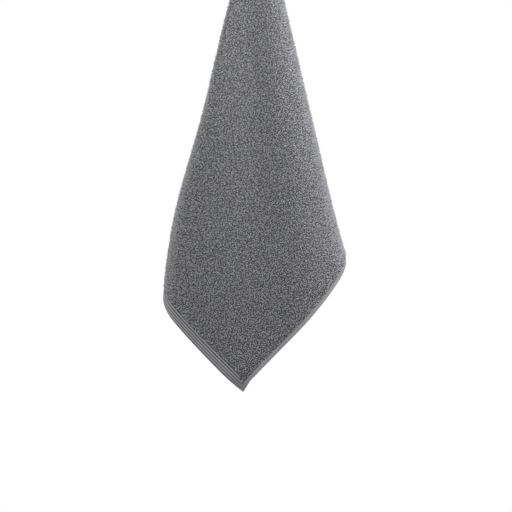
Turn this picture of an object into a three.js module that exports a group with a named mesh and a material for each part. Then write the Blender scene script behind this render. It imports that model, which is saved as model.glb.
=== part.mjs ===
// A square terry face towel that hangs by one corner, with its two halves folded in behind the front.
// Millimetres, +Z up. The hanging corner is the origin, the front faces -Y and the back +Y.
import * as THREE from "three";
import { mergeVertices } from "three/addons/utils/BufferGeometryUtils.js";

// Sizes of the cloth laid flat
const LENGTH = 304; // from hem to hem
const WIDTH = 294; // from selvedge to selvedge, across the terry
const HEM_FLARE = 3.1; // how far the firm end of a hem stands out past the selvedge
const FLARE_REACH = 12;

// Half thicknesses of the cloth
const TERRY_HALF = [
  { hang: 20, half: 0.9 }, // squeezed where the cloth is gathered
  { hang: 30, half: 1.05 },
  { hang: 60, half: 1.2 },
  { hang: 110, half: 1.5 },
];
const HEM_HALF = 0.95;
const SELVEDGE_HALF = 0.7;
const SELVEDGE_STRIP = 3.4;
const TERRY_START = 1.1; // run from flat weave to full pile

// The hem band, from its rolled outer edge inwards: three woven ribs and a plain strip
const RIB_RISE = 0.35;
const HEM_LINES = [
  { from: 0.0, rise: 0 },
  { from: 1.1, rise: 0 },
  { from: 2.1, rise: 1 },
  { from: 3.1, rise: 0 },
  { from: 4.15, rise: 1 },
  { from: 5.2, rise: 0 },
  { from: 6.2, rise: 1 },
  { from: 7.2, rise: 0 },
  { from: 8.2, rise: 0.7 },
  { from: 9.8, rise: 0.6 },
];
const HEM_BAND = 9.8;
const RIB_END = 3.8; // the ribs stop this far from the selvedge

// The bottom corner curls back
const CURL_START = 406; // measured down the diagonal of the cloth
const CURL_LENGTH = 26;
const CURL_TURN = 64;

// The towel is round folded about its hanging corner. Each table has a row for one distance from
// that corner. A run is an angle of the flat cloth in degrees, a turn is how far the cloth bends
// over that run, and a radius is in millimetres. Turns towards the back are positive at the front.
const CENTRE = table(
  ["hang", "across", "depth", "slope"],
  [
    [5, -1.64, -3, 0],
    [12, -1.64, -6, 0],
    [20, -1.64, -8, 0],
    [30, -2.8, -9, -1],
    [60, -4.4, -7.8, -2],
    [110, -3.4, -6.4, -2],
    [200, -1.6, -5.4, -2],
    [300, -1.95, -4.8, -2],
    [430, -0.95, -4.4, -2],
  ],
);

// Left half: the flat front panel, the left fold, the flank inside and a pleat at its end
const LEFT = table(
  ["hang", "panel", "bow", "foldRadius", "foldTurn", "flank", "pleatRadius", "pleatTurn", "edgeTurn"],
  [
    [5, 20, 8, 3, 30, 5, 3, 0, 2],
    [12, 10, 6, 1.5, 140, 10, 1.5, 0, 0],
    [20, 10, 5, 1.4, 168, 12, 1.4, -95, 0],
    [30, 9.4, 5, 1.5, 174, 12, 1.5, -168, 0],
    [60, 7.3, 5, 1.8, 176, 14.5, 1.8, -178, -2],
    [110, 8.5, 6, 3.1, 174, 14.8, 2.3, -178, -4],
    [200, 9.6, 7, 9, 171, 14, 3.6, -178, -4],
    [300, 10.5, 28, 20, 178, 12.4, 4, -178, -4],
    [430, 8.5, 28, 30, 176, 12, 4.6, -168, -4],
  ],
);

// Right half: the valley, the rise out of it, the broad roll, the right fold and the outer flank
const RIGHT = table(
  ["hang", "valley", "dip", "rise", "roll", "rollTurn", "foldRadius", "foldTurn", "flank", "sway", "edgeTurn"],
  [
    [5, 3, -2, 5, 8, 10, 3.5, 25, 4, 2, 2],
    [12, 3, -4, 3, 4, 14, 3.6, 112, 3, 2, 0],
    [20, 2.6, -8, 3, 4.5, 25, 4.6, 146, 4, 2, 0],
    [30, 2.2, -12, 3, 6, 36, 5.2, 150, 6, 2, 0],
    [60, 2, -18, 3.5, 8, 50, 7.3, 145, 10, 4, -4],
    [110, 1.7, -24, 5, 7.5, 60, 11, 139, 9, 6, -14],
    [200, 1.8, -20, 3.5, 7.3, 56, 19.3, 139, 9, 6, -24],
    [300, 2.7, -8, 3.2, 7.4, 45, 26.2, 140, 8, 5, -30],
    [430, 3.2, 0, 3, 9.1, 49, 33.9, 130, 8, 8, -30],
  ],
);

// The right half is drawn up a little where it rolls over
const TAKE_UP = { from: 6, to: 20, share: 0.031 };

// Rows of the mesh, as distances of nested squares from the hanging corner, down to the hem band
const ROWS = [2.5, 5, 8, 11.5, 15, 19, 24, 30, 38, 48, 60, 75, 92, 110, 130, 150, 172, 195, 218, 242, 264, 281];
// Columns of the mesh: how many steps each stretch of a section gets
const LEFT_STEPS = { panel: 5, fold: 7, flank: 4, pleat: 6, edge: 3 };
const RIGHT_STEPS = { valley: 2, rise: 2, roll: 4, fold: 9, edge: 4 };
const FOLDED_SHARE = { left: 39, right: 34 }; // the most of a half, in degrees, before its edge columns
const SELVEDGE_COLUMNS = [SELVEDGE_STRIP + TERRY_START, SELVEDGE_STRIP, 0];
const HEM_COLUMNS = [HEM_BAND + TERRY_START, ...HEM_LINES.map((line) => line.from).reverse()];

const rad = THREE.MathUtils.degToRad;
const deg = THREE.MathUtils.radToDeg;

function table(names, rows) {
  return rows.map((row) => Object.fromEntries(names.map((name, i) => [name, row[i]])));
}

// A table read at any distance, with a smooth curve through its rows
function readTable(rows, hang) {
  const last = rows.length - 1;
  const h = THREE.MathUtils.clamp(hang, rows[0].hang, rows[last].hang);
  let i = 0;
  while (i < last - 1 && h > rows[i + 1].hang) i++;
  const width = rows[i + 1].hang - rows[i].hang;
  const t = (h - rows[i].hang) / width;
  const out = {};
  for (const name of Object.keys(rows[0])) {
    const slope = (k) => {
      const a = rows[Math.max(k - 1, 0)];
      const b = rows[Math.min(k + 1, last)];
      return ((b[name] - a[name]) / (b.hang - a.hang)) * width;
    };
    const t2 = t * t;
    const t3 = t2 * t;
    out[name] =
      (2 * t3 - 3 * t2 + 1) * rows[i][name] +
      (t3 - 2 * t2 + t) * slope(i) +
      (3 * t2 - 2 * t3) * rows[i + 1][name] +
      (t3 - t2) * slope(i + 1);
  }
  return out;
}

// The stretches of one half of a section, outwards from the diagonal, each with its run and turn
const sectionStore = new Map();
function section(hang) {
  const key = hang.toFixed(4);
  if (sectionStore.has(key)) return sectionStore.get(key);
  const perDegree = rad(hang);
  const bend = (radius, turn) => ({ run: (radius * Math.abs(rad(turn))) / perDegree, turn });
  const a = readTable(LEFT, hang);
  const b = readTable(RIGHT, hang);
  const left = [
    { run: a.panel, turn: a.bow },
    bend(a.foldRadius, a.foldTurn),
    { run: a.flank, turn: 0 },
    bend(a.pleatRadius, a.pleatTurn),
  ];
  const right = [
    { run: b.valley, turn: b.dip },
    { run: b.rise, turn: 0 },
    { run: b.roll, turn: b.rollTurn },
    bend(b.foldRadius, b.foldTurn),
    { run: b.flank, turn: b.sway },
  ];
  left.push({ run: 45 - left.reduce((sum, s) => sum + s.run, 0), turn: a.edgeTurn });
  right.push({ run: 45 - right.reduce((sum, s) => sum + s.run, 0), turn: b.edgeTurn });
  const made = { centre: readTable(CENTRE, hang), left, right };
  sectionStore.set(key, made);
  return made;
}

// Where a point of the section lies in plan, walking outwards from the diagonal of the cloth
function plan(hang, angle) {
  const { centre, left, right } = section(Math.max(hang, CENTRE[0].hang));
  const side = angle >= 0 ? 1 : -1;
  const stretches = side > 0 ? right : left;
  let x = centre.across;
  let y = centre.depth;
  let heading = rad(centre.slope) * side;
  let rest = Math.abs(angle);
  for (let i = 0; i < stretches.length && rest > 1e-9; i++) {
    const { run, turn } = stretches[i];
    if (run <= 0) continue;
    const used = i === stretches.length - 1 ? rest : Math.min(rest, run);
    const turned = (rad(turn) * used) / run;
    if (Math.abs(turned) < 1e-9) {
      x += side * used * Math.cos(heading);
      y += used * Math.sin(heading);
    } else {
      const radius = used / turned;
      x += side * radius * (Math.sin(heading + turned) - Math.sin(heading));
      y -= radius * (Math.cos(heading + turned) - Math.cos(heading));
    }
    heading += turned;
    rest -= used;
  }
  return [x * rad(hang), y * rad(hang)];
}

// A point of the flat cloth, hung: p runs along the upper right hem and q along the upper left selvedge
function hung(p, q) {
  const hang = Math.hypot(p, q);
  if (hang < 1e-6) return new THREE.Vector3();
  const angle = deg(Math.atan2(p - q, p + q));
  const [x, y] = plan(hang, angle);
  const tilt = Math.hypot(x, y) / hang;
  const draw = tilt > 1e-9 ? Math.sin(tilt) / tilt : 1;
  const share = THREE.MathUtils.smoothstep(angle, TAKE_UP.from, TAKE_UP.to) * TAKE_UP.share;
  return new THREE.Vector3(x * draw, y * draw, -hang * Math.cos(tilt)).multiplyScalar(1 - share);
}

// The back-facing normal of the hung cloth
function facing(place, p, q) {
  const step = 0.3;
  const alongP = place(p + step, q).sub(place(p - step, q));
  const alongQ = place(p, q + step).sub(place(p, q - step));
  return alongP.cross(alongQ).normalize();
}

// The hung cloth with its bottom corner curled back
function curled(p, q) {
  const down = (p + q) / Math.SQRT2;
  const over = (p - q) / Math.SQRT2;
  if (down <= CURL_START) return hung(p, q);
  const radius = CURL_LENGTH / rad(CURL_TURN);
  const t = (down - CURL_START) / radius;
  const flat = CURL_START + radius * Math.sin(t);
  const [a, b] = [(flat + over) / Math.SQRT2, (flat - over) / Math.SQRT2];
  return hung(a, b).addScaledVector(facing(hung, a, b), radius * (1 - Math.cos(t)));
}

// The cloth from its grid square of LENGTH each way: the terry is narrower than the hems
function cloth(u, v) {
  const fromHem = Math.min(v, LENGTH - v);
  const flare = HEM_FLARE * (1 - THREE.MathUtils.smoothstep(fromHem, 0, FLARE_REACH));
  return curled((u * (WIDTH + flare)) / LENGTH, v);
}

// Half the thickness at a point of the cloth
function halfThickness(u, v) {
  const hang = Math.hypot(u, v);
  const fromHem = Math.min(v, LENGTH - v);
  const fromSelvedge = Math.min(u, LENGTH - u);
  let terry = TERRY_HALF[0].half;
  for (let i = 1; i < TERRY_HALF.length; i++) {
    const [a, b] = [TERRY_HALF[i - 1], TERRY_HALF[i]];
    const reached = Math.min(hang, b.hang);
    if (hang > a.hang) terry = THREE.MathUtils.mapLinear(reached, a.hang, b.hang, a.half, b.half);
  }
  let hem = HEM_HALF;
  if (fromSelvedge > RIB_END && hang > 60) {
    for (let i = 1; i < HEM_LINES.length; i++) {
      const [a, b] = [HEM_LINES[i - 1], HEM_LINES[i]];
      if (fromHem >= a.from && fromHem <= b.from)
        hem = HEM_HALF + RIB_RISE * THREE.MathUtils.mapLinear(fromHem, a.from, b.from, a.rise, b.rise);
    }
  }
  const flat = Math.min(fromHem < HEM_BAND ? hem : SELVEDGE_HALF, terry);
  const pile = Math.min(
    THREE.MathUtils.smoothstep(fromHem, HEM_BAND, HEM_BAND + TERRY_START),
    THREE.MathUtils.smoothstep(fromSelvedge, SELVEDGE_STRIP, SELVEDGE_STRIP + TERRY_START),
  );
  return THREE.MathUtils.lerp(flat, terry, pile);
}

// The columns of one mesh row, as angles from the diagonal of the grid square, left edge to right edge
function columns(row) {
  const { left, right } = section(Math.max(row * 1.15, CENTRE[0].hang));
  const stops = (stretches, steps, room) => {
    const total = stretches.reduce((sum, s) => sum + s.run, 0);
    const fit = Math.min(1, room / total);
    const angles = [];
    let from = 0;
    steps.forEach((count, i) => {
      for (let k = 1; k <= count; k++) angles.push((from + (stretches[i].run * k) / count) * fit);
      from += stretches[i].run;
    });
    return angles;
  };
  const edgeColumns = (last, distances, steps) => {
    const room = row * Math.tan(rad(45 - last - 1.5));
    const scale = Math.min(1, room / distances[0]);
    const edge = distances.map((d) => 45 - deg(Math.atan((d * scale) / row)));
    const between = [];
    for (let k = 1; k < steps; k++) between.push(last + ((edge[0] - last) * k) / steps);
    return [...between, ...edge];
  };
  const leftSteps = [LEFT_STEPS.panel, LEFT_STEPS.fold, LEFT_STEPS.flank, LEFT_STEPS.pleat];
  const rightSteps = [RIGHT_STEPS.valley, RIGHT_STEPS.rise, RIGHT_STEPS.roll, RIGHT_STEPS.fold];
  const a = stops(left.slice(0, 4), leftSteps, FOLDED_SHARE.left);
  const b = stops(right.slice(0, 4), rightSteps, FOLDED_SHARE.right);
  a.push(...edgeColumns(a[a.length - 1], SELVEDGE_COLUMNS, LEFT_STEPS.edge));
  b.push(...edgeColumns(b[b.length - 1], HEM_COLUMNS, RIGHT_STEPS.edge));
  return [...a.reverse().map((angle) => -angle), 0, ...b];
}

// A grid point of the cloth: a nested square of the given size, at the given angle
function gridPoint(size, angle) {
  const minor = size * Math.tan(rad(45 - Math.abs(angle)));
  return angle < 0 ? [minor, size] : [size, minor];
}

function buildTowel() {
  const positions = [];
  const faces = [];
  const put = (point) => {
    positions.push(point.x, point.y, point.z);
    return positions.length / 3 - 1;
  };
  const twoSides = (u, v, half) => {
    const normal = facing(cloth, u, v);
    const middle = cloth(u, v);
    return [
      put(middle.clone().addScaledVector(normal, -half)),
      put(middle.clone().addScaledVector(normal, half)),
    ];
  };
  const quad = (a, b, c, d) => faces.push(a, b, c, a, c, d);

  const sizes = [...ROWS, ...HEM_COLUMNS.map((from) => LENGTH - from)];
  const lastRow = sizes.length - 1;
  const grid = sizes.map((size, r) =>
    columns(size).map((angle, c, all) => {
      const [u, v] = gridPoint(size, angle);
      const edge = r === lastRow || c === 0 || c === all.length - 1;
      return twoSides(u, v, halfThickness(u, v) * (edge ? 0.7 : 1));
    }),
  );
  const lastColumn = grid[0].length - 1;

  // Front and back faces
  for (let r = 0; r < lastRow; r++) {
    for (let c = 0; c < lastColumn; c++) {
      const [a, b, d, e] = [grid[r][c], grid[r][c + 1], grid[r + 1][c], grid[r + 1][c + 1]];
      quad(a[0], d[0], e[0], b[0]);
      quad(a[1], b[1], e[1], d[1]);
    }
  }

  // The rounded edge all round: one line of points half way between the faces, set a little outwards
  const bulge = 0.45;
  const rim = [];
  const addRim = (sides, u, v) => rim.push({ sides, middle: put(cloth(u, v)) });
  for (let r = 0; r <= lastRow; r++) {
    const v = sizes[r] + (r === lastRow ? bulge : 0);
    addRim(grid[r][0], -bulge, v);
  }
  const bottom = columns(sizes[lastRow]);
  for (let c = 1; c < lastColumn; c++) {
    const [u, v] = gridPoint(LENGTH + bulge, bottom[c]);
    addRim(grid[lastRow][c], u, v);
  }
  for (let r = lastRow; r >= 0; r--) {
    const u = sizes[r] + (r === lastRow ? bulge : 0);
    addRim(grid[r][lastColumn], u, -bulge);
  }
  for (let i = 0; i + 1 < rim.length; i++) {
    const [a, b] = [rim[i], rim[i + 1]];
    quad(a.sides[0], a.middle, b.middle, b.sides[0]);
    quad(a.middle, a.sides[1], b.sides[1], b.middle);
  }

  // The hanging corner
  const tip = twoSides(0.6, 0.6, TERRY_HALF[0].half);
  const tipRim = put(new THREE.Vector3(0, 0, 0));
  for (let c = 0; c < lastColumn; c++) {
    faces.push(tip[0], grid[0][c][0], grid[0][c + 1][0]);
    faces.push(tip[1], grid[0][c + 1][1], grid[0][c][1]);
  }
  const [first, last] = [rim[0], rim[rim.length - 1]];
  faces.push(tip[0], tipRim, first.middle, tip[0], first.middle, first.sides[0]);
  faces.push(tip[1], first.middle, tipRim, tip[1], first.sides[1], first.middle);
  faces.push(tip[0], last.sides[0], last.middle, tip[0], last.middle, tipRim);
  faces.push(tip[1], last.middle, last.sides[1], tip[1], tipRim, last.middle);

  let geometry = new THREE.BufferGeometry();
  geometry.setAttribute("position", new THREE.Float32BufferAttribute(positions, 3));
  geometry.setIndex(faces);
  geometry = mergeVertices(geometry, 1e-3);
  geometry.computeVertexNormals();
  return geometry;
}

const towel = new THREE.Mesh(
  buildTowel(),
  new THREE.MeshStandardMaterial({ color: 0x6d6d6f, roughness: 1, metalness: 0 }),
);
towel.name = "towel";

const hangingTowel = new THREE.Group();
hangingTowel.add(towel);

export default hangingTowel;
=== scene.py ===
import math

import bmesh
import bpy
import numpy as np
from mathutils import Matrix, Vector


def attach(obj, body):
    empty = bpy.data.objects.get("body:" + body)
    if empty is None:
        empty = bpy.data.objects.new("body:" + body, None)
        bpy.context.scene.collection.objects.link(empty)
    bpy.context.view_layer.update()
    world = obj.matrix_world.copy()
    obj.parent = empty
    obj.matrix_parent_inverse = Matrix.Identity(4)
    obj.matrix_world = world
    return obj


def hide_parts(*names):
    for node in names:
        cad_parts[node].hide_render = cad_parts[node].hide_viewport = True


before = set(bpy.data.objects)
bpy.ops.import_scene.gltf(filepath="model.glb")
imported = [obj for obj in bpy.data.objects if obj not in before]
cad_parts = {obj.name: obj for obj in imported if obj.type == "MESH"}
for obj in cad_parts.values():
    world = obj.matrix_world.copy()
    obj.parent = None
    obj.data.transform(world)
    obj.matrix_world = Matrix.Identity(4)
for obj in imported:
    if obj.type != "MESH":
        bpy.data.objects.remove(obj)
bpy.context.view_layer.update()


# The towel's cloth
# One square of cotton terry, woven flat and hung by one corner: its left side is folded in behind
# the front and pleated, and its right side rolls round as the outer flank. All sizes are metres, but
# the tables of folds and the drape worked out from them are in millimetres and degrees.

LENGTH = 0.304  # hem to hem
WIDTH = 0.294  # selvedge to selvedge
HEM_FLARE = 0.0031  # the firm ends of a hem stand out past the terry
FLARE_REACH = 0.012
TO_MILLIMETRES = 1000

# Each row is one distance from the hanging corner. The centre table says where the cloth's diagonal
# hangs. In the other two a run is an angle of the flat cloth, a turn is how far the cloth bends over
# that run, and a radius is that of a fold.
CENTRE_COLUMNS = ["hang", "across", "depth", "slope"]
CENTRE = [
    [5, -1.64, -3, 0],
    [12, -1.64, -6, 0],
    [20, -1.64, -8, 0],
    [30, -2.8, -9, -1],
    [60, -4.4, -7.8, -2],
    [110, -3.4, -6.4, -2],
    [200, -1.6, -5.4, -2],
    [300, -1.95, -4.8, -2],
    [430, -0.95, -4.4, -2],
]
LEFT_COLUMNS = [
    "hang",
    "panel",
    "bow",
    "fold_radius",
    "fold_turn",
    "flank",
    "pleat_radius",
    "pleat_turn",
    "edge_turn",
]
LEFT = [
    [5, 20, 8, 3, 30, 5, 3, 0, 2],
    [12, 10, 6, 1.5, 140, 10, 1.5, 0, 0],
    [20, 10, 5, 1.4, 168, 12, 1.4, -95, 0],
    [30, 9.4, 5, 1.5, 174, 12, 1.5, -168, 0],
    [60, 7.3, 5, 1.8, 176, 14.5, 1.8, -178, -2],
    [110, 8.5, 6, 3.1, 174, 14.8, 2.3, -178, -4],
    [200, 9.6, 7, 9, 171, 14, 3.6, -178, -4],
    [300, 10.5, 28, 20, 178, 12.4, 4, -178, -4],
    [430, 8.5, 28, 30, 176, 12, 4.6, -168, -4],
]
RIGHT_COLUMNS = [
    "hang",
    "valley",
    "dip",
    "rise",
    "roll",
    "roll_turn",
    "fold_radius",
    "fold_turn",
    "flank",
    "sway",
    "edge_turn",
]
RIGHT = [
    [5, 3, -2, 5, 8, 10, 3.5, 25, 4, 2, 2],
    [12, 3, -4, 3, 4, 14, 3.6, 112, 3, 2, 0],
    [20, 2.6, -8, 3, 4.5, 25, 4.6, 146, 4, 2, 0],
    [30, 2.2, -12, 3, 6, 36, 5.2, 150, 6, 2, 0],
    [60, 2, -18, 3.5, 8, 50, 7.3, 145, 10, 4, -4],
    [110, 1.7, -24, 5, 7.5, 60, 11, 139, 9, 6, -14],
    [200, 1.8, -20, 3.5, 7.3, 56, 19.3, 139, 9, 6, -24],
    [300, 2.7, -8, 3.2, 7.4, 45, 26.2, 140, 8, 5, -30],
    [430, 3.2, 0, 3, 9.1, 49, 33.9, 130, 8, 8, -30],
]
HALF = 45  # degrees of flat cloth on each side of its diagonal
TAKE_UP = 0.031  # on the bias at the outer right the cloth hangs this share shorter
TAKE_UP_FROM, TAKE_UP_TO = 6, 20


def folds_at(table, names, hang):
    """The table read at distances from the hanging corner, along smooth curves through its rows."""
    rows = np.array(table, float)
    stops = rows[:, 0]
    hang = np.clip(hang, stops[0], stops[-1])
    i = np.clip(np.searchsorted(stops, hang) - 1, 0, len(stops) - 2)
    width = (stops[i + 1] - stops[i])[:, None]
    t = (hang - stops[i])[:, None] / width
    slopes = np.empty_like(rows)
    slopes[1:-1] = (rows[2:] - rows[:-2]) / (stops[2:] - stops[:-2])[:, None]
    slopes[0] = (rows[1] - rows[0]) / (stops[1] - stops[0])
    slopes[-1] = (rows[-1] - rows[-2]) / (stops[-1] - stops[-2])
    values = (
        (2 * t**3 - 3 * t**2 + 1) * rows[i]
        + (t**3 - 2 * t**2 + t) * width * slopes[i]
        + (3 * t**2 - 2 * t**3) * rows[i + 1]
        + (t**3 - t**2) * width * slopes[i + 1]
    )
    return {name: values[:, k] for k, name in enumerate(names)}


def smooth(t):
    """A soft step from 0 to 1."""
    t = np.clip(t, 0, 1)
    return t * t * (3 - 2 * t)


def stretches(hang):
    """Runs and turns of the cloth's two halves, outwards from its diagonal, in degrees."""
    left = folds_at(LEFT, LEFT_COLUMNS, hang)
    right = folds_at(RIGHT, RIGHT_COLUMNS, hang)

    def arc(radius, turn):
        return radius * np.abs(turn) / hang

    left_runs = [
        left["panel"],
        arc(left["fold_radius"], left["fold_turn"]),
        left["flank"],
        arc(left["pleat_radius"], left["pleat_turn"]),
    ]
    left_turns = [left["bow"], left["fold_turn"], 0 * hang, left["pleat_turn"], left["edge_turn"]]
    right_runs = [
        right["valley"],
        right["rise"],
        right["roll"],
        arc(right["fold_radius"], right["fold_turn"]),
        right["flank"],
    ]
    right_turns = [
        right["dip"],
        0 * hang,
        right["roll_turn"],
        right["fold_turn"],
        right["sway"],
        right["edge_turn"],
    ]
    left_runs.append(HALF - sum(left_runs))
    right_runs.append(HALF - sum(right_runs))
    return (left_runs, left_turns), (right_runs, right_turns)


def hung(p, q):
    """Points of the flat cloth, in millimetres along its two upper edges, in the shape it hangs in."""
    hang = np.maximum(np.hypot(p, q), 1e-6)
    angle = np.degrees(np.arctan2(p - q, p + q))
    measured = np.maximum(hang, CENTRE[0][0])
    centre = folds_at(CENTRE, CENTRE_COLUMNS, measured)
    per_degree = np.radians(hang)
    x = centre["across"].copy()
    y = centre["depth"].copy()
    for side, (runs, turns) in zip((-1, 1), stretches(measured)):
        here = angle >= 0 if side > 0 else angle < 0
        rest = np.where(here, np.abs(angle), 0)
        heading = np.radians(centre["slope"]) * side
        for k, (run, turn) in enumerate(zip(runs, turns)):
            outermost = k == len(runs) - 1
            used = rest if outermost else np.minimum(rest, np.maximum(run, 0))
            turned = np.radians(turn) * used / np.maximum(run, 1e-9)
            bent = np.abs(turned) > 1e-7
            radius = np.where(bent, used / np.where(bent, turned, 1), 0)
            after = heading + turned
            x += side * np.where(bent, radius * (np.sin(after) - np.sin(heading)), used * np.cos(heading))
            y += np.where(bent, radius * (np.cos(heading) - np.cos(after)), used * np.sin(heading))
            heading = after
            rest = rest - used
    x *= per_degree
    y *= per_degree
    tilt = np.hypot(x, y) / hang
    draw = np.where(tilt > 1e-9, np.sin(tilt) / np.maximum(tilt, 1e-9), 1)
    drawn_up = 1 - TAKE_UP * smooth((angle - TAKE_UP_FROM) / (TAKE_UP_TO - TAKE_UP_FROM))
    return np.stack([x * draw, y * draw, -hang * np.cos(tilt)], axis=1) * drawn_up[:, None]


def facing(place, p, q, step=0.3):
    """The normals of the cloth's back, from points a step to each side."""
    along_p = place(p + step, q) - place(p - step, q)
    along_q = place(p, q + step) - place(p, q - step)
    normal = np.cross(along_p, along_q)
    return normal / np.linalg.norm(normal, axis=1)[:, None]


CURL_START = 406  # down the diagonal from the hanging corner
CURL_LENGTH = 26
CURL_TURN = math.radians(64)


def curled(p, q):
    """The hung cloth with its bottom corner curled back."""
    down = (p + q) / math.sqrt(2)
    over = (p - q) / math.sqrt(2)
    radius = CURL_LENGTH / CURL_TURN
    t = np.maximum(down - CURL_START, 0) / radius
    flat = np.minimum(down, CURL_START) + radius * np.sin(t)
    a, b = (flat + over) / math.sqrt(2), (flat - over) / math.sqrt(2)
    place = hung(a, b)
    curl = t > 0
    if curl.any():
        lift = radius * (1 - np.cos(t[curl]))
        place[curl] += facing(hung, a[curl], b[curl]) * lift[:, None]
    return place


def cloth(u, v):
    """The cloth at u from its upper left selvedge and v from its upper right hem, 0 to LENGTH."""
    from_hem = np.minimum(v, LENGTH - v)
    flare = HEM_FLARE * (1 - smooth(from_hem / FLARE_REACH))
    p = u * (WIDTH + flare) / LENGTH * TO_MILLIMETRES
    return curled(p, v * TO_MILLIMETRES) / TO_MILLIMETRES


# The hems and selvedges are woven in one with the cloth and have no loops. Each hem is a band with
# three ribs and a narrow plain strip, and each selvedge is a narrow flat edge. The cloth is squeezed
# thinner towards the gathered hanging corner.
HEM_BAND = 0.0098
SELVEDGE = 0.0034
GROUND_HALF = 0.00055  # the woven ground that carries the loops, half of its thickness
HEM_HALF = 0.00095
SELVEDGE_HALF = 0.00062
RIB_RISE = 0.00045
RIB_END = 0.0038  # the ribs stop this far from the selvedge
RIB_END_SOFT = 0.0008
RIB_FIRST = 0.0021
RIB_PITCH = 0.00205
RIB_COUNT = 3
RIB_FULLNESS = 0.62  # over 0.5, so the ribs have flat tops and the grooves flat floors
STRIP_START, STRIP_END, STRIP_SOFT = 0.0077, 0.0088, 0.0006
STRIP_RISE = 0.7  # as a share of a rib's rise
HEM_END_RISE = 0.5  # past the ends of the ribs
GATHERED_HALF = 0.0009
GATHER_GAIN = 0.0006
GATHER_START, GATHER_REACH = 0.02, 0.09
HEM_ROUNDING, SELVEDGE_ROUNDING = 0.0011, 0.0006
EDGE_LEAST = 0.06  # keeps the outermost row from closing to nothing


def rib_height(u, v):
    """The relief of the hem band, from 0 in a groove to 1 on a rib."""
    from_hem = np.minimum(v, LENGTH - v)
    from_selvedge = np.minimum(u, LENGTH - u)
    waves = np.cos((from_hem - RIB_FIRST) / RIB_PITCH * 2 * math.pi)
    ribs = np.clip(waves * RIB_FULLNESS + 0.5, 0, 1)
    ribs *= from_hem > RIB_FIRST - RIB_PITCH / 2
    ribs *= from_hem < RIB_FIRST + RIB_PITCH * (RIB_COUNT - 0.5)
    rising = smooth((from_hem - STRIP_START) / STRIP_SOFT)
    falling = 1 - smooth((from_hem - STRIP_END) / STRIP_SOFT)
    strip = STRIP_RISE * rising * falling
    plain = 1 - smooth((from_selvedge - RIB_END) / RIB_END_SOFT)
    return (ribs + strip) * (1 - plain) + HEM_END_RISE * plain * (from_hem < HEM_BAND)


def half_thickness(u, v):
    """Half of the thickness of the woven cloth, rounded off at its outer edge."""
    from_hem = np.minimum(v, LENGTH - v)
    from_selvedge = np.minimum(u, LENGTH - u)
    from_edge = np.minimum(from_hem, from_selvedge)
    hang = np.hypot(u, v)
    hem = HEM_HALF + RIB_RISE * rib_height(u, v)
    ground = GROUND_HALF + 0 * u
    half = np.where(from_hem < HEM_BAND, hem, ground)
    flat = (from_selvedge < SELVEDGE) & (from_hem >= HEM_BAND)
    half = np.where(flat, SELVEDGE_HALF, half)
    gathered = GATHERED_HALF + GATHER_GAIN * smooth((hang - GATHER_START) / GATHER_REACH)
    half = np.minimum(half, gathered)
    rounding = np.where(from_hem < from_selvedge, HEM_ROUNDING, SELVEDGE_ROUNDING)
    t = np.clip(1 - from_edge / rounding, 0, 1)
    return half * np.sqrt(np.maximum(1 - t * t, EDGE_LEAST))


# The mesh's columns and rows near the edges, as distances from the edge: close ones round it off, and
# even ones carry the ribs.
EDGE_LINES = [0, 0.00012, 0.00035, 0.0007]
SELVEDGE_LINES = EDGE_LINES + [0.0016, 0.0028, 0.0034, 0.0042]
HEM_LINES = EDGE_LINES + [0.00105 + 0.00031 * k for k in range(30)] + [0.0106]
LEFT_STEPS, RIGHT_STEPS = (14, 16, 12, 12), (5, 6, 12, 24)  # mesh columns over each run, outwards
LEFT_EDGE_STEPS, RIGHT_EDGE_STEPS = 8, 12
LEFT_FOLDED, RIGHT_FOLDED = 39, 34  # the folds take up at most these degrees of a half
FOLDS_DOWN = 1150  # millimetres from the hanging corner to a square's folds, for each metre of its size


def cloth_columns(size):
    """Angles of the mesh columns from the diagonal of one nested square of the cloth, left to right."""
    hang = np.array([max(size * FOLDS_DOWN, CENTRE[0][0])])
    (left_runs, _), (right_runs, _) = stretches(hang)

    def through(runs, steps, room):
        fit = min(1, room / sum(float(run[0]) for run in runs))
        angles, reached = [], 0
        for run, count in zip(runs, steps):
            angles += [(reached + run[0] * k / count) * fit for k in range(1, count + 1)]
            reached += run[0]
        return angles

    def to_edge(last, lines, steps, least=1.5):
        room = size * math.tan(math.radians(HALF - last - least))
        scale = min(1, room / lines[-1])
        edge = [HALF - math.degrees(math.atan(d * scale / size)) for d in reversed(lines)]
        return [last + (edge[0] - last) * k / steps for k in range(1, steps)] + edge

    left = through(left_runs[:4], LEFT_STEPS, LEFT_FOLDED)
    right = through(right_runs[:4], RIGHT_STEPS, RIGHT_FOLDED)
    left += to_edge(left[-1], SELVEDGE_LINES, LEFT_EDGE_STEPS)
    right += to_edge(right[-1], HEM_LINES, RIGHT_EDGE_STEPS)
    return [-angle for angle in reversed(left)] + [0] + right


# The mesh's nested squares, which start at the hanging corner and lie closest together there
SQUARE_STEP, STEP_GAIN, GAIN_REACH = 0.0022, 0.0009, 0.1
LAST_GAP = 0.004  # left free before the rows of the hem
sizes = [0.002, 0.0035, 0.005, 0.0065, 0.008, 0.0097, 0.0115, 0.0135, 0.0157, 0.018]
while sizes[-1] < LENGTH - HEM_LINES[-1] - LAST_GAP:
    sizes.append(sizes[-1] + SQUARE_STEP + STEP_GAIN * min(1, sizes[-1] / GAIN_REACH))
sizes += [LENGTH - d for d in reversed(HEM_LINES)]
angles = np.array([cloth_columns(size) for size in sizes])
squares = np.array(sizes)[:, None] + 0 * angles
minor = squares * np.tan(np.radians(HALF - np.abs(angles)))
grid_u = np.where(angles < 0, minor, squares)
grid_v = np.where(angles < 0, squares, minor)

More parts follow.
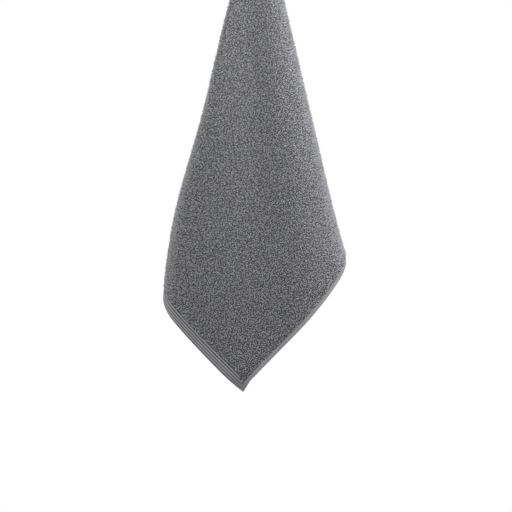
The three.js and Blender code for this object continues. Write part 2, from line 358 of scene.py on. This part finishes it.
GROUND_SLOT, HEM_SLOT, SELVEDGE_SLOT = 0, 1, 2  # the order of the cloth's materials
mesh_builder = bmesh.new()
uv_layer = mesh_builder.loops.layers.uv.new("cloth")
rows, columns = grid_u.shape
made = bmesh.ops.create_grid(mesh_builder, x_segments=columns - 1, y_segments=rows - 1, size=1)
spots = [
    (round((v.co.y + 1) / 2 * (rows - 1)), round((v.co.x + 1) / 2 * (columns - 1)))
    for v in made["verts"]
]
picked = tuple(np.array(spots).T)
spot_u, spot_v = grid_u[picked], grid_v[picked]
spot_place = cloth(spot_u, spot_v)
for vertex, place in zip(made["verts"], spot_place):
    vertex.co = place
spot_of = {vertex: k for k, vertex in enumerate(made["verts"])}
for face in mesh_builder.faces:
    face.smooth = True
    for corner in face.loops:
        k = spot_of[corner.vert]
        corner[uv_layer].uv = (spot_u[k] / LENGTH, spot_v[k] / LENGTH)
    centre_u = sum(spot_u[spot_of[v]] for v in face.verts) / len(face.verts)
    centre_v = sum(spot_v[spot_of[v]] for v in face.verts) / len(face.verts)
    face.material_index = GROUND_SLOT
    if min(centre_v, LENGTH - centre_v) < HEM_BAND:
        face.material_index = HEM_SLOT
    elif min(centre_u, LENGTH - centre_u) < SELVEDGE:
        face.material_index = SELVEDGE_SLOT
cloth_mesh = bpy.data.meshes.new("towel_cloth")
thickest_half = 0.00145
weights = half_thickness(spot_u, spot_v) / thickest_half
for vertex, k in spot_of.items():
    vertex.index = k
mesh_builder.to_mesh(cloth_mesh)
mesh_builder.free()
towel_cloth = bpy.data.objects.new("towel_cloth", cloth_mesh)
bpy.context.scene.collection.objects.link(towel_cloth)
thickness_group = towel_cloth.vertex_groups.new(name="thickness")
for k, weight in enumerate(weights):
    thickness_group.add([k], float(min(weight, 1)), "REPLACE")
shell = towel_cloth.modifiers.new("thickness", "SOLIDIFY")
shell.thickness = 2 * thickest_half
shell.offset = 0
shell.vertex_group = "thickness"
shell.use_even_offset = False
shell.use_rim = True


def cotton(name, colour, weave_scale, bump, sheen):
    """Dyed cotton yarn: mottled colour, soft sheen, and bump along the cloth's own two directions."""
    material = bpy.data.materials.new(name)
    material.use_nodes = True
    nodes, links = material.node_tree.nodes, material.node_tree.links
    shader = nodes["Principled BSDF"]
    shader.inputs["Roughness"].default_value = 0.95
    shader.inputs["Specular IOR Level"].default_value = 0.15
    shader.inputs["Sheen Weight"].default_value = sheen
    shader.inputs["Sheen Roughness"].default_value = 0.6
    uv = nodes.new("ShaderNodeUVMap")
    uv.uv_map = "cloth"
    speckle = nodes.new("ShaderNodeTexNoise")
    speckle.inputs["Scale"].default_value = weave_scale
    speckle.inputs["Detail"].default_value = 3
    links.new(uv.outputs["UV"], speckle.inputs["Vector"])
    ramp = nodes.new("ShaderNodeValToRGB")
    ramp.color_ramp.elements[0].position = 0.3
    ramp.color_ramp.elements[1].position = 0.7
    ramp.color_ramp.elements[0].color = [c * 0.72 for c in colour] + [1]
    ramp.color_ramp.elements[1].color = [c * 1.22 for c in colour] + [1]
    links.new(speckle.outputs["Fac"], ramp.inputs["Fac"])
    links.new(ramp.outputs["Color"], shader.inputs["Base Color"])
    warp = nodes.new("ShaderNodeTexWave")
    warp.wave_type = "BANDS"
    warp.bands_direction = "X"
    warp.inputs["Scale"].default_value = weave_scale / 6
    warp.inputs["Distortion"].default_value = 1.2
    weft = nodes.new("ShaderNodeTexWave")
    weft.wave_type = "BANDS"
    weft.bands_direction = "Y"
    weft.inputs["Scale"].default_value = weave_scale / 6
    weft.inputs["Distortion"].default_value = 1.2
    both = nodes.new("ShaderNodeMath")
    both.operation = "MULTIPLY"
    for wave in (warp, weft):
        links.new(uv.outputs["UV"], wave.inputs["Vector"])
    links.new(warp.outputs["Fac"], both.inputs[0])
    links.new(weft.outputs["Fac"], both.inputs[1])
    height = nodes.new("ShaderNodeBump")
    height.inputs["Strength"].default_value = 0.5
    height.inputs["Distance"].default_value = bump
    links.new(both.outputs["Value"], height.inputs["Height"])
    links.new(height.outputs["Normal"], shader.inputs["Normal"])
    return material


GREY = (0.190, 0.191, 0.199)
# Painted shade: the ground's grey is darkened to stand in for the shade the pile casts on it
PAINTED_SHADE_GREY = [c * 0.3 for c in GREY]  # the ground lies in the pile's own shade
SELVEDGE_GREY = (0.178, 0.177, 0.180)
cloth_mesh.materials.append(cotton("terry_ground", PAINTED_SHADE_GREY, 900, 0.0002, 0.1))
hem_weave = cotton("hem_weave", GREY, 1200, 0.00015, 0.2)
cloth_mesh.materials.append(hem_weave)
cloth_mesh.materials.append(cotton("selvedge_weave", SELVEDGE_GREY, 1200, 0.00015, 0.2))

# Painted shade: the hem's colour is darkened in the grooves between its ribs, where they lie in their own
# shade
relief = cloth_mesh.attributes.new("relief", "FLOAT", "POINT")
relief.data.foreach_set("value", rib_height(spot_u, spot_v).astype(np.float32))
hem_nodes, hem_links = hem_weave.node_tree.nodes, hem_weave.node_tree.links
rib_relief = hem_nodes.new("ShaderNodeAttribute")
rib_relief.attribute_name = "relief"
depth = hem_nodes.new("ShaderNodeValToRGB")
depth.color_ramp.elements[0].color = (0.3, 0.3, 0.31, 1)
depth.color_ramp.elements[1].color = (1, 1, 1, 1)
depth.color_ramp.elements[1].position = 0.55
groove_painted_shade = hem_nodes.new("ShaderNodeMix")
groove_painted_shade.data_type, groove_painted_shade.blend_type = "RGBA", "MULTIPLY"
groove_painted_shade.inputs["Factor"].default_value = 1
hem_links.new(rib_relief.outputs["Fac"], depth.inputs["Fac"])
hem_links.new(hem_nodes["Color Ramp"].outputs["Color"], groove_painted_shade.inputs[6])
hem_links.new(depth.outputs["Color"], groove_painted_shade.inputs[7])
hem_links.new(groove_painted_shade.outputs[2], hem_nodes["Principled BSDF"].inputs["Base Color"])
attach(towel_cloth, "root")


# The pile
# Loops of soft cotton yarn stand out of the ground on both faces, everywhere but on the hems and
# the selvedges. They are woven in along the warp, and use has leaned and turned each its own way.

LOOP_PITCH = 0.0015
LOOP_FOOT = 0.00046  # half of the distance between a loop's two feet
LOOP_YARN = 0.00046  # the radius of its yarn
LOOP_TOP = 0.0024  # from the middle of the cloth to the top of a loop
LOOP_JITTER = 0.3  # of the pitch
LOOP_TURN = 0.75  # radians from the warp, as a spread
LOOP_LEAN = 0.28  # sideways for each unit of height, as a spread
LOOP_LOWEST, LOOP_HIGHEST = 0.62, 1.12
LOOP_SLIMMEST, LOOP_PLUMPEST = 0.85, 1.2
LOOP_SUNK = 0.6  # a loop starts at this share of the ground's half thickness
GATHERED_PILE = 0.6  # the share of its size that a loop keeps at the hanging corner
LOOP_SEED = 7
MIDDLE_PART = 0.0558  # in the middle third of the cloth, u and v differ by less than this
BARE_HEM, BARE_SELVEDGE = HEM_BAND - 0.0001, SELVEDGE + 0.0002
NORMAL_STEP, WARP_STEP = 0.0003, 0.0002  # to each side of a loop's place
YARN_SOFTNESS = 0.8  # fluffy yarn takes this share of its light as the cloth under it does
YARN_SHADE, YARN_SHADE_SPREAD = 1.0, 0.2  # a loop's own tint, which it has at SHADE_HEIGHT
SHADE_HEIGHT = 0.75  # as a share of its rise
# Painted shade: a loop's tint is darker towards its feet, where the loops shade one another
PAINTED_FOOT_SHADE = 0.75  # how much lower the tint is at a loop's feet than at its top
TWIST_SHADE = 0.15  # as a spread: one leg of a loop is lighter and the other darker

loop_builder = bmesh.new()
foot = bmesh.ops.create_circle(loop_builder, segments=3, radius=LOOP_YARN, cap_ends=False)
bmesh.ops.translate(loop_builder, verts=foot["verts"], vec=(LOOP_FOOT, 0, 0))
bmesh.ops.spin(
    loop_builder,
    geom=loop_builder.verts[:] + loop_builder.edges[:],
    axis=(0, 1, 0),
    cent=(0, 0, 0),
    angle=-math.pi,
    steps=2,
    use_merge=False,
)
bmesh.ops.recalc_face_normals(loop_builder, faces=loop_builder.faces)
loop_builder.verts.ensure_lookup_table()
loop_points = np.array([v.co[:] for v in loop_builder.verts])
loop_points[:, 2] /= loop_points[:, 2].max()
loop_faces = np.array([[v.index for v in face.verts] for face in loop_builder.faces])
loop_builder.free()

draw = np.random.default_rng(LOOP_SEED)


def pile_material():
    """Looped yarn: loops lighter or darker by their tint, which carries painted shade at their feet, with
    fine dark flecks that are partly mottled yarn and partly painted shade in the gaps between the fibres.
    """
    material = bpy.data.materials.new("terry_loops")
    material.use_nodes = True
    nodes, links = material.node_tree.nodes, material.node_tree.links
    shader = nodes["Principled BSDF"]
    shader.inputs["Roughness"].default_value = 0.95
    shader.inputs["Specular IOR Level"].default_value = 0.15
    shader.inputs["Sheen Weight"].default_value = 0.1
    shader.inputs["Sheen Roughness"].default_value = 0.6
    tint = nodes.new("ShaderNodeAttribute")
    tint.attribute_name = "tint"
    lightness = nodes.new("ShaderNodeValToRGB")
    lightness.color_ramp.elements[0].color = [c * 0.47 for c in GREY] + [1]
    lightness.color_ramp.elements[1].color = [c * 1.27 for c in GREY] + [1]
    lightness.color_ramp.elements[0].position = 0.1
    lightness.color_ramp.elements[1].position = 0.6
    links.new(tint.outputs["Fac"], lightness.inputs["Fac"])
    place = nodes.new("ShaderNodeTexCoord")
    fibres = nodes.new("ShaderNodeTexNoise")
    fibres.inputs["Scale"].default_value = 1300
    fibres.inputs["Detail"].default_value = 1
    links.new(place.outputs["Object"], fibres.inputs["Vector"])
    # Partly painted shade: dark flecks of mottled yarn that also stand in for the shade in the gaps
    # between the fibres
    mottle_and_painted_shade = nodes.new("ShaderNodeValToRGB")
    mottle_and_painted_shade.color_ramp.elements[0].position = 0.34
    mottle_and_painted_shade.color_ramp.elements[0].color = (0.25, 0.25, 0.26, 1)
    mottle_and_painted_shade.color_ramp.elements[1].position = 0.52
    mottle_and_painted_shade.color_ramp.elements[1].color = (1.12, 1.12, 1.12, 1)
    links.new(fibres.outputs["Fac"], mottle_and_painted_shade.inputs["Fac"])
    mottled = nodes.new("ShaderNodeMix")
    mottled.data_type, mottled.blend_type = "RGBA", "MULTIPLY"
    mottled.inputs["Factor"].default_value = 1
    links.new(lightness.outputs["Color"], mottled.inputs[6])
    links.new(mottle_and_painted_shade.outputs["Color"], mottled.inputs[7])
    links.new(mottled.outputs[2], shader.inputs["Base Color"])
    strands = nodes.new("ShaderNodeTexNoise")
    strands.inputs["Scale"].default_value = 9000
    links.new(place.outputs["Object"], strands.inputs["Vector"])
    height = nodes.new("ShaderNodeBump")
    height.inputs["Strength"].default_value = 0.4
    height.inputs["Distance"].default_value = 0.0001
    links.new(strands.outputs["Fac"], height.inputs["Height"])
    links.new(height.outputs["Normal"], shader.inputs["Normal"])
    return material


loops_yarn = pile_material()


def add_pile(name, face_side, part):
    """One face's loops on a third of the cloth: face_side -1 is the front, part -1 the left."""
    us, vs = [], []
    count = int(LENGTH / LOOP_PITCH)
    for row in range(count):
        v = (row + 0.5) * LENGTH / count
        u = (np.arange(count) + 0.25 + 0.5 * (row % 2)) * LENGTH / count
        us.append(u)
        vs.append(np.full(count, v))
    u, v = np.concatenate(us), np.concatenate(vs)
    u = u + draw.uniform(-LOOP_JITTER, LOOP_JITTER, len(u)) * LOOP_PITCH
    v = v + draw.uniform(-LOOP_JITTER, LOOP_JITTER, len(v)) * LOOP_PITCH
    keep = (np.minimum(v, LENGTH - v) > BARE_HEM) & (np.minimum(u, LENGTH - u) > BARE_SELVEDGE)
    keep &= np.digitize(u - v, [-MIDDLE_PART, MIDDLE_PART]) - 1 == part
    u, v = u[keep], v[keep]
    middle = cloth(u, v)
    normal = facing(cloth, u, v, NORMAL_STEP) * face_side
    along = cloth(u, v + WARP_STEP) - cloth(u, v - WARP_STEP)
    along /= np.linalg.norm(along, axis=1)[:, None]
    across = np.cross(normal, along)
    n = len(u)
    turned = draw.normal(0, LOOP_TURN, n)
    lean_along, lean_across = draw.normal(0, LOOP_LEAN, n), draw.normal(0, LOOP_LEAN, n)
    up = normal + along * lean_along[:, None] + across * lean_across[:, None]
    up /= np.linalg.norm(up, axis=1)[:, None]
    wide = along * np.cos(turned)[:, None] + across * np.sin(turned)[:, None]
    wide -= up * np.sum(wide * up, axis=1)[:, None]
    wide /= np.linalg.norm(wide, axis=1)[:, None]
    side = np.cross(up, wide)
    hang = np.hypot(u, v)
    squeeze = GATHERED_PILE + (1 - GATHERED_PILE) * smooth((hang - GATHER_START) / GATHER_REACH)
    start = GROUND_HALF * LOOP_SUNK * squeeze
    rise = (LOOP_TOP * squeeze - start) * draw.uniform(LOOP_LOWEST, LOOP_HIGHEST, n)
    plump = draw.uniform(LOOP_SLIMMEST, LOOP_PLUMPEST, n) * squeeze
    x = loop_points[None, :, 0] * plump[:, None]
    y = loop_points[None, :, 1] * plump[:, None]
    z = loop_points[None, :, 2] * rise[:, None]
    points = (
        (middle + normal * start[:, None])[:, None, :]
        + wide[:, None, :] * x[..., None]
        + side[:, None, :] * y[..., None]
        + up[:, None, :] * z[..., None]
    )
    tints = draw.normal(YARN_SHADE, YARN_SHADE_SPREAD, n)[:, None]
    # Painted shade: the tint falls towards each loop's feet, where the loops shade one another
    tints = tints + (loop_points[None, :, 2] - SHADE_HEIGHT) * PAINTED_FOOT_SHADE
    twists = draw.normal(0, TWIST_SHADE, n)[:, None]
    tints = np.clip(tints + np.sign(loop_points[None, :, 0]) * twists, 0, 1)
    faces = (loop_faces[None] + np.arange(n)[:, None, None] * len(loop_points)).reshape(-1, 4)
    mesh = bpy.data.meshes.new(name)
    mesh.from_pydata(points.reshape(-1, 3).tolist(), [], faces.tolist())
    mesh.shade_smooth()
    own = np.empty(points.size, np.float32)
    mesh.vertices.foreach_get("normal", own)
    soft = own.reshape(points.shape) * (1 - YARN_SOFTNESS) + normal[:, None, :] * YARN_SOFTNESS
    soft /= np.linalg.norm(soft, axis=2)[..., None]
    mesh.normals_split_custom_set_from_vertices(soft.reshape(-1, 3).tolist())
    tint = mesh.attributes.new("tint", "FLOAT", "POINT")
    tint.data.foreach_set("value", tints.ravel().astype(np.float32))
    mesh.materials.append(loops_yarn)
    pile = bpy.data.objects.new(name, mesh)
    bpy.context.scene.collection.objects.link(pile)
    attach(pile, "root")
    return pile


piles = [
    add_pile("pile_front_left", -1, -1),
    add_pile("pile_front_middle", -1, 0),
    add_pile("pile_front_right", -1, 1),
    add_pile("pile_back_left", 1, -1),
    add_pile("pile_back_middle", 1, 0),
    add_pile("pile_back_right", 1, 1),
]
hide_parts("towel")


# The studio
# A pale floor lies well below the hanging towel. Five soft lights stand round it, at about the height
# of its upper end, in a pale room that is seen as white.

FLOOR_LEVEL = -0.80
FLOOR_RADIUS = 0.75
floor_builder = bmesh.new()
bmesh.ops.create_circle(floor_builder, segments=96, radius=FLOOR_RADIUS, cap_ends=True)
bmesh.ops.translate(floor_builder, verts=floor_builder.verts[:], vec=(0, 0, FLOOR_LEVEL))
floor_mesh = bpy.data.meshes.new("floor")
floor_builder.to_mesh(floor_mesh)
floor_builder.free()
floor = bpy.data.objects.new("floor", floor_mesh)
bpy.context.scene.collection.objects.link(floor)
floor_paint = bpy.data.materials.new("pale_floor")
floor_paint.use_nodes = True
floor_paint.node_tree.nodes["Principled BSDF"].inputs["Base Color"].default_value = (0.8, 0.8, 0.8, 1)
floor_paint.node_tree.nodes["Principled BSDF"].inputs["Roughness"].default_value = 0.9
floor_mesh.materials.append(floor_paint)

room = bpy.data.worlds.new("bright_room")
bpy.context.scene.world = room
room.use_nodes = True
bpy.context.scene.view_settings.view_transform = "Standard"
sky, room_links = room.node_tree.nodes["Background"], room.node_tree.links
sky.inputs["Color"].default_value = (1, 1, 1, 1)
sky.inputs["Strength"].default_value = 0.3  # the light it gives
seen = room.node_tree.nodes.new("ShaderNodeBackground")
seen.inputs["Strength"].default_value = 1.0  # what shows behind the towel
ray = room.node_tree.nodes.new("ShaderNodeLightPath")
either = room.node_tree.nodes.new("ShaderNodeMixShader")
seen.inputs["Color"].default_value = (1, 1, 1, 1)
room_links.new(ray.outputs["Is Camera Ray"], either.inputs["Fac"])
room_links.new(sky.outputs["Background"], either.inputs[1])
room_links.new(seen.outputs["Background"], either.inputs[2])
room_links.new(either.outputs["Shader"], room.node_tree.nodes["World Output"].inputs["Surface"])

LIGHTS_AIM = Vector((0, 0, -0.25))  # the middle of the towel


def soft_light(name, place, size, power):
    """A round soft light, turned to the towel."""
    lamp = bpy.data.lights.new(name, "AREA")
    lamp.shape = "DISK"
    lamp.size = size
    lamp.energy = power
    holder = bpy.data.objects.new(name, lamp)
    holder.location = place
    aim = LIGHTS_AIM - Vector(place)
    holder.rotation_euler = aim.to_track_quat("-Z", "Y").to_euler()
    bpy.context.scene.collection.objects.link(holder)


soft_light("key_light", (0.5, -0.3, 0.1), 0.2, 6.0)
soft_light("front_light", (-0.3, -0.6, 0.2), 0.3, 5.7)
soft_light("left_light", (-0.8, 0.15, 0.2), 0.7, 4.5)
soft_light("right_light", (0.8, 0.15, 0), 0.4, 2.4)
soft_light("back_light", (0.1, 0.9, 0.2), 0.6, 9)


# The camera
# It looks level at the lower three quarters of the towel, straight at its front, and the picture cuts
# off the rest at the top.

CAMERA_DISTANCE = 1.7
VIEW_HEIGHT = 0.426  # what the picture takes in at that distance
VIEW_CENTRE_X, VIEW_CENTRE_Z = -0.00125, -0.3095
FRONT_DEPTH = 0.02  # the front of the towel hangs about this far forward of its hanging corner
camera_data = bpy.data.cameras.new("camera")
camera_data.sensor_fit = "HORIZONTAL"
camera_data.sensor_width = 36
camera_data.lens = camera_data.sensor_width * CAMERA_DISTANCE / VIEW_HEIGHT
camera = bpy.data.objects.new("camera", camera_data)
camera.location = (VIEW_CENTRE_X, -CAMERA_DISTANCE - FRONT_DEPTH, VIEW_CENTRE_Z)
camera.rotation_euler = (math.radians(90), 0, 0)
bpy.context.scene.collection.objects.link(camera)
bpy.context.scene.camera = camera
